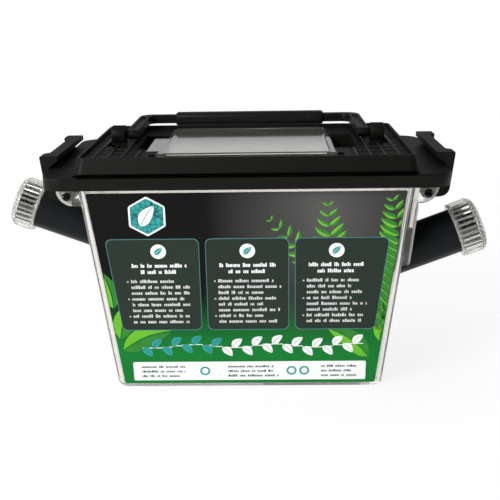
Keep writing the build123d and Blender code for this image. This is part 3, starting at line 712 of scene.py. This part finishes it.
def printed_ground(settings):
    """Offset-printed and laminated film of the label.

    The eye gets satin charcoal with a soft glow, which turns green at the foot.
    """
    material, tree, place = new_material("printed_ground")
    spot = add_node(tree, "ShaderNodeSeparateXYZ", {"Vector": place})
    rise = add_node(tree, "ShaderNodeMapRange", {
        "Value": spot.outputs["Z"], "From Min": 16 * MM, "From Max": 52 * MM},
        interpolation_type="SMOOTHSTEP")
    # the glow is an oval around a point near the top, right of the middle, in millimetres
    across, up, half_width, half_height = 35, 88, 31.25, 40
    centred = add_node(tree, "ShaderNodeMapping", {
        "Vector": place, "Location": (-across / half_width, 0.0, -up / half_height),
        "Scale": (per_metre(half_width), 0.0, per_metre(half_height))})
    reach = add_node(tree, "ShaderNodeVectorMath", {0: centred}, operation="LENGTH")
    glow = add_node(tree, "ShaderNodeMapRange", {
        "Value": reach, "From Max": 1.7, "To Min": 1.0, "To Max": 0.0})
    upper = add_node(tree, "ShaderNodeMix", {
        "Factor": glow, "A": settings.ground, "B": settings.glow}, data_type="RGBA")
    both = add_node(tree, "ShaderNodeMix", {
        "Factor": rise, "A": settings.foot, "B": upper}, data_type="RGBA")
    cloud = add_node(tree, "ShaderNodeTexNoise", {"Vector": place, "Scale": per_metre(18), "Detail": 2.0})
    shade = add_node(tree, "ShaderNodeMapRange", {"Value": cloud, "To Min": 0.86, "To Max": 1.1})
    toned = add_node(tree, "ShaderNodeMix", {
        "Factor": 1.0, "A": both, "B": shade}, data_type="RGBA", blend_type="MULTIPLY")
    film = add_node(tree, "ShaderNodeBsdfPrincipled", {
        "Base Color": toned, "Roughness": 0.42, "IOR": 1.5, "Specular IOR Level": 0.1})
    add_node(tree, "ShaderNodeOutputMaterial", {"Surface": film})
    return material


def printed_ink(name, colour, other, scale=7.0, cells=False):
    """One printing ink on the film; the eye gets the slight unevenness of a screened tint, or cells."""
    material, tree, place = new_material(name)
    if cells:
        pattern = add_node(tree, "ShaderNodeTexVoronoi", {
            "Vector": place, "Scale": per_metre(scale), "Randomness": 0.75}, feature="DISTANCE_TO_EDGE")
        share = add_node(tree, "ShaderNodeMapRange", {
            "Value": pattern, "From Min": 0.02, "From Max": 0.12, "To Min": 1.0, "To Max": 0.0})
    else:
        share = add_node(tree, "ShaderNodeTexNoise", {
            "Vector": place, "Scale": per_metre(scale), "Detail": 3.0})
    tone = add_node(tree, "ShaderNodeMix", {"Factor": share, "A": colour, "B": other}, data_type="RGBA")
    film = add_node(tree, "ShaderNodeBsdfPrincipled", {
        "Base Color": tone, "Roughness": 0.42, "IOR": 1.5, "Specular IOR Level": 0.25})
    add_node(tree, "ShaderNodeOutputMaterial", {"Surface": film})
    return material


# ---- operators

def soften(piece, width):
    """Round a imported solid's sharp edges by a width, as its mould does."""
    weld = piece.modifiers.new("Weld", "WELD")
    weld.merge_threshold = 0.002 * MM
    flat = piece.modifiers.new("Flat", "DECIMATE")
    flat.decimate_type = "DISSOLVE"
    flat.angle_limit = math.radians(0.4)
    bevel = piece.modifiers.new("Soft edges", "BEVEL")
    bevel.width = width
    bevel.segments = 2
    bevel.limit_method = "ANGLE"
    bevel.angle_limit = math.radians(35)
    bevel.harden_normals = True
    bevel.use_clamp_overlap = True


class KEEPER_OT_dress_black(bpy.types.Operator):
    """Give the lid, its vent panels, clips and handle their black plastic"""
    bl_idname = "keeper_box.dress_black"
    bl_label = "Dress Lid, Clips and Handle"

    def execute(self, context):
        settings = context.scene.keeper_black
        colour = settings.colour
        plastic = moulded_polypropylene(settings, "moulded_polypropylene", colour)
        for name in ("lid", "vent_panel_right", "vent_panel_left", "side_clip_right", "side_clip_left",
                     "handle_bail"):
            wear(NODES[name], plastic)
            soften(NODES[name], settings.edge if "vent" not in name else settings.edge / 2)
        # painted highlight: the crests get a much lighter black, as if they caught the light, and a smoother
        # finish
        highlighted = moulded_polypropylene(settings, "painted_highlight_polypropylene", shaded(colour, 4.5), 0.12)
        for side, turn in (("right", 1), ("left", -1)):
            crests = crest_mesh("vent_crests_" + side, turn, settings.crest)
            add_piece(crests, "box", highlighted)
        # painted shade: a very dark matt strip where the plate's foot meets the flange, darker than the
        # faces beside it
        painted_shade = moulded_polypropylene(settings, "painted_shade_polypropylene", shaded(colour, 0.3), -0.3, 0.0)
        for side, turn in (("back", 1), ("front", -1)):
            add_piece(foot_shadow_mesh("foot_shadow_" + side, turn), "box", painted_shade)
        return {"FINISHED"}


class KEEPER_OT_dress_grip(bpy.types.Operator):
    """Give the grip, the feeding dish and its guard their smoother black plastic"""
    bl_idname = "keeper_box.dress_grip"
    bl_label = "Dress Grip and Dish"

    def execute(self, context):
        settings = context.scene.keeper_black
        grip = moulded_polypropylene(settings, "satin_polypropylene", settings.grip, 0.06)
        dish = moulded_polypropylene(settings, "polished_polypropylene", settings.grip, 0.2)
        for name, plastic in (("handle_grip", grip), ("feeding_dish", dish), ("drinking_guard", dish)):
            wear(NODES[name], plastic)
            soften(NODES[name], settings.edge)
        return {"FINISHED"}


class KEEPER_OT_dress_clear(bpy.types.Operator):
    """Give the tank, the window door and the caps their clear plastic, and the sockets their beads"""
    bl_idname = "keeper_box.dress_clear"
    bl_label = "Dress Clear Parts"

    def execute(self, context):
        settings = context.scene.keeper_clear
        tint = settings.tint
        walls = clear_polystyrene(settings, "clear_polystyrene", tint, 0.03, haze=0.03)
        frost_ears(walls, settings, 0.03)
        wear(NODES["tank"], walls)
        wear(NODES["window_door"], clear_polystyrene(
            settings, "clear_door_polystyrene", settings.door_tint, 0.03, 0.015, 0.025))
        cap_plastic = clear_polystyrene(settings, "clear_cap_polystyrene", tint, 0.04, 0.02)
        frost_ribs(cap_plastic, 0.0, 0.26)
        bead_plastic = clear_polystyrene(settings, "clear_bead_polystyrene", tint, 0.04, 0.02, 0.6)
        for side, turn in (("right", 1), ("left", -1)):
            node = "tube_cap_" + side
            wear(NODES[node], cap_plastic)
            ribbed = ribbed_cap_mesh("ribbed_cap_" + side, tube_place(side))
            cap = add_piece(ribbed, "cap_" + side, cap_plastic)
            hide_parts(node)
            beads = socket_bead_mesh("socket_beads_" + side, turn, settings.bead)
            add_piece(beads, "box", bead_plastic)
        return {"FINISHED"}


class KEEPER_OT_dress_tubes(bpy.types.Operator):
    """Give the hiding tubes their black plastic and their threads"""
    bl_idname = "keeper_box.dress_tubes"
    bl_label = "Dress Tubes"

    def execute(self, context):
        settings = context.scene.keeper_tube
        black = extruded_polyethylene(settings)
        for side in ("right", "left"):
            wear(NODES["tube_" + side], black)
            thread = thread_mesh("tube_thread_" + side, tube_place(side),
                                 settings.thread_pitch, settings.thread_height)
            add_piece(thread, "tube_" + side, black)
        return {"FINISHED"}


class KEEPER_OT_print_label(bpy.types.Operator):
    """Print the label: ground, leaves, three panels of small print, badge, vine and foot strip"""
    bl_idname = "keeper_box.print_label"
    bl_label = "Print Label"

    def execute(self, context):
        settings = context.scene.keeper_label
        ground = printed_ground(settings)
        wear(NODES["front_label"], ground)
        add_piece(label_head_mesh("label_head"), "box", ground)
        # each ink: its name, its colour, and the darker or lighter tone that it turns to
        tones = {
            "leaf_light": ("light_leaf_ink", settings.leaf_light, 0.72),
            "leaf_dark": ("dark_leaf_ink", settings.leaf_dark, 0.6),
            "outline": ("outline_ink", settings.outline, 0.8),
            "ink": ("white_ink", settings.ink, 0.93),
            "accent": ("teal_ink", settings.accent, 0.8),
        }
        inks = {ink: printed_ink(name, colour, shaded(colour, share))
                for ink, (name, colour, share) in tones.items()}
        inks["panel"] = printed_ink("panel_ink", settings.panel, shaded(settings.panel, 1.5), 26)
        inks["body"] = printed_ink("grey_ink", shaded(settings.ink, 0.74), shaded(settings.ink, 0.6))
        inks["badge"] = printed_ink("badge_ink", settings.accent, settings.accent_dark, 2.1, True)
        inks["dark"] = printed_ink("dark_grey_ink", settings.strip_ink, linear("#55595a"))
        shapes = self.leaves() + self.panels() + self.badge() + self.vine() + self.strip()
        for name, polygons, layer, ink in shapes:
            add_piece(print_mesh(name, polygons, layer), "box", inks[ink])
        return {"FINISHED"}

    def leaves(self):
        """Ferns and broad leaves that rise at the right, behind the panels."""
        # foot, tip, sway, pairs of leaflets, their length
        ferns = (
            ((60, 20), (64, 93), -7, 17, 15), ((66, 26), (36, 91), 9, 15, 13),
            ((48, 22), (10, 84), -5, 13, 10))
        # foot, tip, width, sway
        broad = (
            ((-60, 24), (-52, 44), 9, 1.5), ((-59, 18), (-36, 28), 10, 2.0), ((56, 14), (37, 29), 9, -2.0),
            ((61, 22), (66, 40), 8, 1.0), ((-62, 40), (-66, 58), 7, -1.0))
        grown = [frond(*fern) for fern in ferns] + [leaf(*blade) for blade in broad]
        lighter = sum((one for one, _ in grown), [])
        darker = sum((other for _, other in grown), [])
        return [
            ("label_leaves_light", lighter, 0, "leaf_light"), ("label_leaves_dark", darker, 1, "leaf_dark")]

    def panels(self):
        """Three dark panels in a row, each with a round mark, a heading and small print."""
        chooser = random.Random(7)
        low, high = 28.5, 74.5
        middle_edge, side_edge, margin = 18.8, 21.5, 4.2
        widening = LABEL_HALF_TOP - LABEL_HALF_FOOT
        foot, head = (LABEL_HALF_FOOT + widening * up / LABEL_SLOPE - margin for up in (low, high))
        # how far below the upper edge a panel's mark, heading and small print start
        mark_drop, heading_drop, print_drop = 6.2, 14.0, 21.6
        fills, outlines, headings, body, marks, mark_leaves = [], [], [], [], [], []
        panels = (
            [(-foot, low), (-side_edge, low), (-side_edge, high), (-head, high)],
            [(-middle_edge, low), (middle_edge, low), (middle_edge, high), (-middle_edge, high)],
            [(side_edge, low), (foot, low), (head, high), (side_edge, high)])
        for corners in panels:
            outer = rounded(corners, 2.6)
            middle = Vector((sum(x for x, _ in corners) / 4, (low + high) / 2))
            inner = [tuple(middle + (Vector(point) - middle) * 0.985) for point in outer]
            fills.append(inner)
            outlines += ribbon(outer, inner)
            left, right = corners[0][0] + 3.2, corners[1][0] - 3.0
            centre = Vector(((left + right) / 2, high - mark_drop))
            marks.append(circle(*centre, 3.5))
            one, other = leaf(centre + Vector((-1.7, -1.7)), centre + Vector((1.9, 1.9)), 2.4, 0.2, 7)
            mark_leaves += one + other
            for row in range(2):
                inset = 3 + 4 * row
                up = high - heading_drop - 3.1 * row
                headings += greeked_row(left + inset, right - inset, up, 1.9, chooser)
            for row in range(8):
                up = high - print_drop - 2.95 * row
                body += greeked_row(left + 2.2, right - chooser.uniform(0, 9), up, 1.6, chooser)
                if row % 3 == 0:
                    body.append(circle(left + 0.7, up + 0.6, 0.4, 10))
        return [
            ("label_panels", fills, 2, "panel"), ("label_panel_outlines", outlines, 3, "outline"),
            ("label_headings", headings, 4, "ink"), ("label_small_print", body, 4, "body"),
            ("label_round_marks", marks, 4, "ink"), ("label_mark_leaves", mark_leaves, 5, "accent")]

    def badge(self):
        """A hanging six-sided badge with a cell pattern and a white leaf."""
        centre = Vector((-44, 85.2))

        def hexagon(radius):
            spokes = [math.radians(60 * corner + 30) for corner in range(6)]
            corners = [tuple(centre + Vector((math.cos(a), math.sin(a))) * radius) for a in spokes]
            return rounded(corners, 1.2)
        one, other = leaf(centre + Vector((-3.0, -4.6)), centre + Vector((3.2, 4.9)), 5.4, 0.6, 9)
        ring = ribbon(hexagon(9.4), hexagon(8.5))
        return [
            ("label_badge", [hexagon(8.6)], 2, "badge"), ("label_badge_ring", ring, 3, "ink"),
            ("label_badge_leaf", one + other, 4, "ink")]

    def vine(self):
        """A title band without a title: white and teal leaves along a stem."""
        white, teal, stem = [], [], []
        pitch, half_stem, reach = 4.7, 0.2, 4.6
        count, count_teal = 22, 8
        for step in range(count):
            across = -50 + pitch * step
            up = 20.0 + 0.9 * math.sin(across / 6)
            low, high = up - half_stem, up + half_stem
            stem.append([(across, low), (across + pitch, low), (across + pitch, high), (across, high)])
            side = 1 if step % 2 else -1
            one, other = leaf((across, up), (across + reach, up + reach * side), 3.6, 0.5, 7)
            if step < count_teal:
                teal += one + other
            else:
                white += one + other
        return [
            ("label_vine_stem", stem, 2, "ink"), ("label_vine_teal", teal, 3, "accent"),
            ("label_vine_white", white, 3, "ink")]

    def strip(self):
        """A white strip at the foot with thin grey rows and three small round marks."""
        chooser = random.Random(21)
        half, low, high = 55, 1.6, 11.6
        strip = rounded([(-half, low), (half, low), (half, high), (-half, high)], 0.8)
        rows, marks = [], []
        for left, right in ((-51, -29), (-10, 14), (34, 52)):
            for row in range(3):
                rows += greeked_row(left, right - chooser.uniform(0, 4), 8.4 - 2.5 * row, 1.2, chooser, 0.9)
        for across in (-21, 20, 26):
            marks += ribbon(circle(across, 6.6, 2.4), circle(across, 6.6, 1.5))
        return [
            ("label_foot_strip", [strip], 2, "ink"), ("label_foot_rows", rows, 3, "dark"),
            ("label_foot_marks", marks, 3, "accent")]


class KEEPER_OT_stage(bpy.types.Operator):
    """Set up the floor, the light and the camera"""
    bl_idname = "keeper_box.stage"
    bl_label = "Set Up Stage"

    def execute(self, context):
        settings = context.scene.keeper_stage
        self.floor(settings)
        self.room(context.scene, settings)
        self.lamps(settings)
        self.camera(context.scene, settings)
        return {"FINISHED"}

    def floor(self, settings):
        """A wide white table that keeps the object's shadow."""
        size = 3.0
        mesh = bpy.data.meshes.new("floor")
        corners = [(-size, -size, 0), (size, -size, 0), (size, size, 0), (-size, size, 0)]
        mesh.from_pydata(corners, [], [(0, 1, 2, 3)])
        floor = link("floor", mesh)
        material, tree, place = new_material("white_table")
        # the shadow shows near the object, and further out the table is as white as the backdrop
        reach = add_node(tree, "ShaderNodeVectorMath", {0: place}, operation="LENGTH")
        fade = add_node(tree, "ShaderNodeMapRange", {
            "Value": reach, "From Min": 0.1, "From Max": 0.4, "To Min": 0.87, "To Max": 1.0},
            interpolation_type="SMOOTHSTEP")
        share = add_node(tree, "ShaderNodeMath", {0: self.seen(tree), 1: fade}, operation="MULTIPLY")
        matt = add_node(tree, "ShaderNodeBsdfDiffuse", {"Color": settings.floor})
        white = add_node(tree, "ShaderNodeEmission", {"Color": settings.floor, "Strength": 1.0})
        both = add_node(tree, "ShaderNodeMixShader", {"Fac": share, 1: matt, 2: white})
        add_node(tree, "ShaderNodeOutputMaterial", {"Surface": both})
        wear(floor, material)

    def seen(self, tree):
        """1 for rays straight from the camera, through clear plastic or off a gloss, else 0."""
        path = add_node(tree, "ShaderNodeLightPath").outputs
        either = add_node(tree, "ShaderNodeMath", {
            0: path["Is Camera Ray"], 1: path["Is Transmission Ray"]}, operation="MAXIMUM")
        return add_node(tree, "ShaderNodeMath", {0: either, 1: path["Is Glossy Ray"]}, operation="MAXIMUM")

    def room(self, scene, settings):
        """White backdrop, a grey ceiling over it and a darker room behind the camera."""
        world = bpy.data.worlds.new("studio_room")
        scene.world = world
        world.use_nodes = True
        tree = world.node_tree
        tree.nodes.clear()
        direction = add_node(tree, "ShaderNodeTexCoord")
        split = add_node(tree, "ShaderNodeSeparateXYZ", {"Vector": direction.outputs["Generated"]})
        back = add_node(tree, "ShaderNodeMapRange", {
            "Value": split.outputs["Y"], "From Min": -0.35, "From Max": 0.25},
            interpolation_type="SMOOTHSTEP")
        # in front and behind, a white horizon gives way to the room above it
        rooms = []
        for colour, start, end in ((settings.front, 0.06, 0.16), (settings.ceiling, 0.04, 0.3)):
            rise = add_node(tree, "ShaderNodeMapRange", {
                "Value": split.outputs["Z"], "From Min": start, "From Max": end},
                interpolation_type="SMOOTHSTEP")
            rooms.append(add_node(tree, "ShaderNodeMix", {
                "Factor": rise, "A": settings.floor, "B": colour}, data_type="RGBA"))
        around = add_node(tree, "ShaderNodeMix", {
            "Factor": back, "A": rooms[0], "B": rooms[1]}, data_type="RGBA")
        background = add_node(tree, "ShaderNodeBackground", {"Color": around, "Strength": 1.0})
        add_node(tree, "ShaderNodeOutputWorld", {"Surface": background})

    def lamps(self, settings):
        """A soft light at the front left and a wide one overhead."""
        lights = (
            ("key_light", settings.key_power, (0.7, 0.7), (-0.85, -0.85, 0.75)),
            ("top_light", settings.top_power, (1.0, 0.7), (-0.1, 0.1, 1.1)))
        for name, power, (width, height), place in lights:
            light = bpy.data.lights.new(name, "AREA")
            light.shape = "RECTANGLE"
            light.size = width
            light.size_y = height
            light.energy = power
            lamp = link(name, light)
            lamp.location = place
            # the wide light gives its light only: its mirror image would wash the lid out
            lamp.visible_glossy = name == "key_light"
            aim = Vector((0, 0, 0.06)) - lamp.location
            lamp.rotation_euler = aim.to_track_quat("-Z", "Y").to_euler()

    def camera(self, scene, settings):
        """A camera a little above the box and straight in front of it."""
        yaw = math.radians(1.26)
        down = math.radians(16.36)
        roll = math.radians(-0.89)
        place = Vector((9.8, -431.5, 183.8)) * MM
        data = bpy.data.cameras.new("camera")
        data.lens = settings.lens
        data.sensor_width = 36
        camera = link("camera", data)
        turn = Matrix.Rotation(yaw, 4, "Z") @ Matrix.Rotation(math.pi / 2 - down, 4, "X")
        turn = turn @ Matrix.Rotation(roll, 4, "Z")
        camera.matrix_world = Matrix.Translation(place) @ turn
        scene.camera = camera
        scene.view_settings.view_transform = "Standard"


class KEEPER_PT_panel(bpy.types.Panel):
    """The steps that dress the keeper box"""
    bl_label = "Keeper Box"
    bl_idname = "KEEPER_PT_panel"
    bl_space_type = "VIEW_3D"
    bl_region_type = "UI"
    bl_category = "Keeper Box"

    def draw(self, context):
        for operator in OPERATORS:
            self.layout.operator(operator.bl_idname)


SETTINGS = {
    "keeper_black": BlackPlasticSettings,
    "keeper_clear": ClearPlasticSettings,
    "keeper_tube": TubeSettings,
    "keeper_label": LabelSettings,
    "keeper_stage": StageSettings,
}
OPERATORS = (
    KEEPER_OT_dress_black, KEEPER_OT_dress_grip, KEEPER_OT_dress_clear, KEEPER_OT_dress_tubes,
    KEEPER_OT_print_label, KEEPER_OT_stage)


def register():
    for kind in (*SETTINGS.values(), *OPERATORS, KEEPER_PT_panel):
        bpy.utils.register_class(kind)
    for name, kind in SETTINGS.items():
        setattr(bpy.types.Scene, name, bpy.props.PointerProperty(type=kind))


def unregister():
    for name in SETTINGS:
        delattr(bpy.types.Scene, name)
    for kind in (KEEPER_PT_panel, *reversed(OPERATORS), *reversed(SETTINGS.values())):
        bpy.utils.unregister_class(kind)


def main():
    """Dress the box and set the stage."""
    register()
    bpy.ops.keeper_box.dress_black()
    bpy.ops.keeper_box.dress_grip()
    bpy.ops.keeper_box.dress_clear()
    bpy.ops.keeper_box.dress_tubes()
    bpy.ops.keeper_box.print_label()
    bpy.ops.keeper_box.stage()


if __name__ == "__main__":
    main()
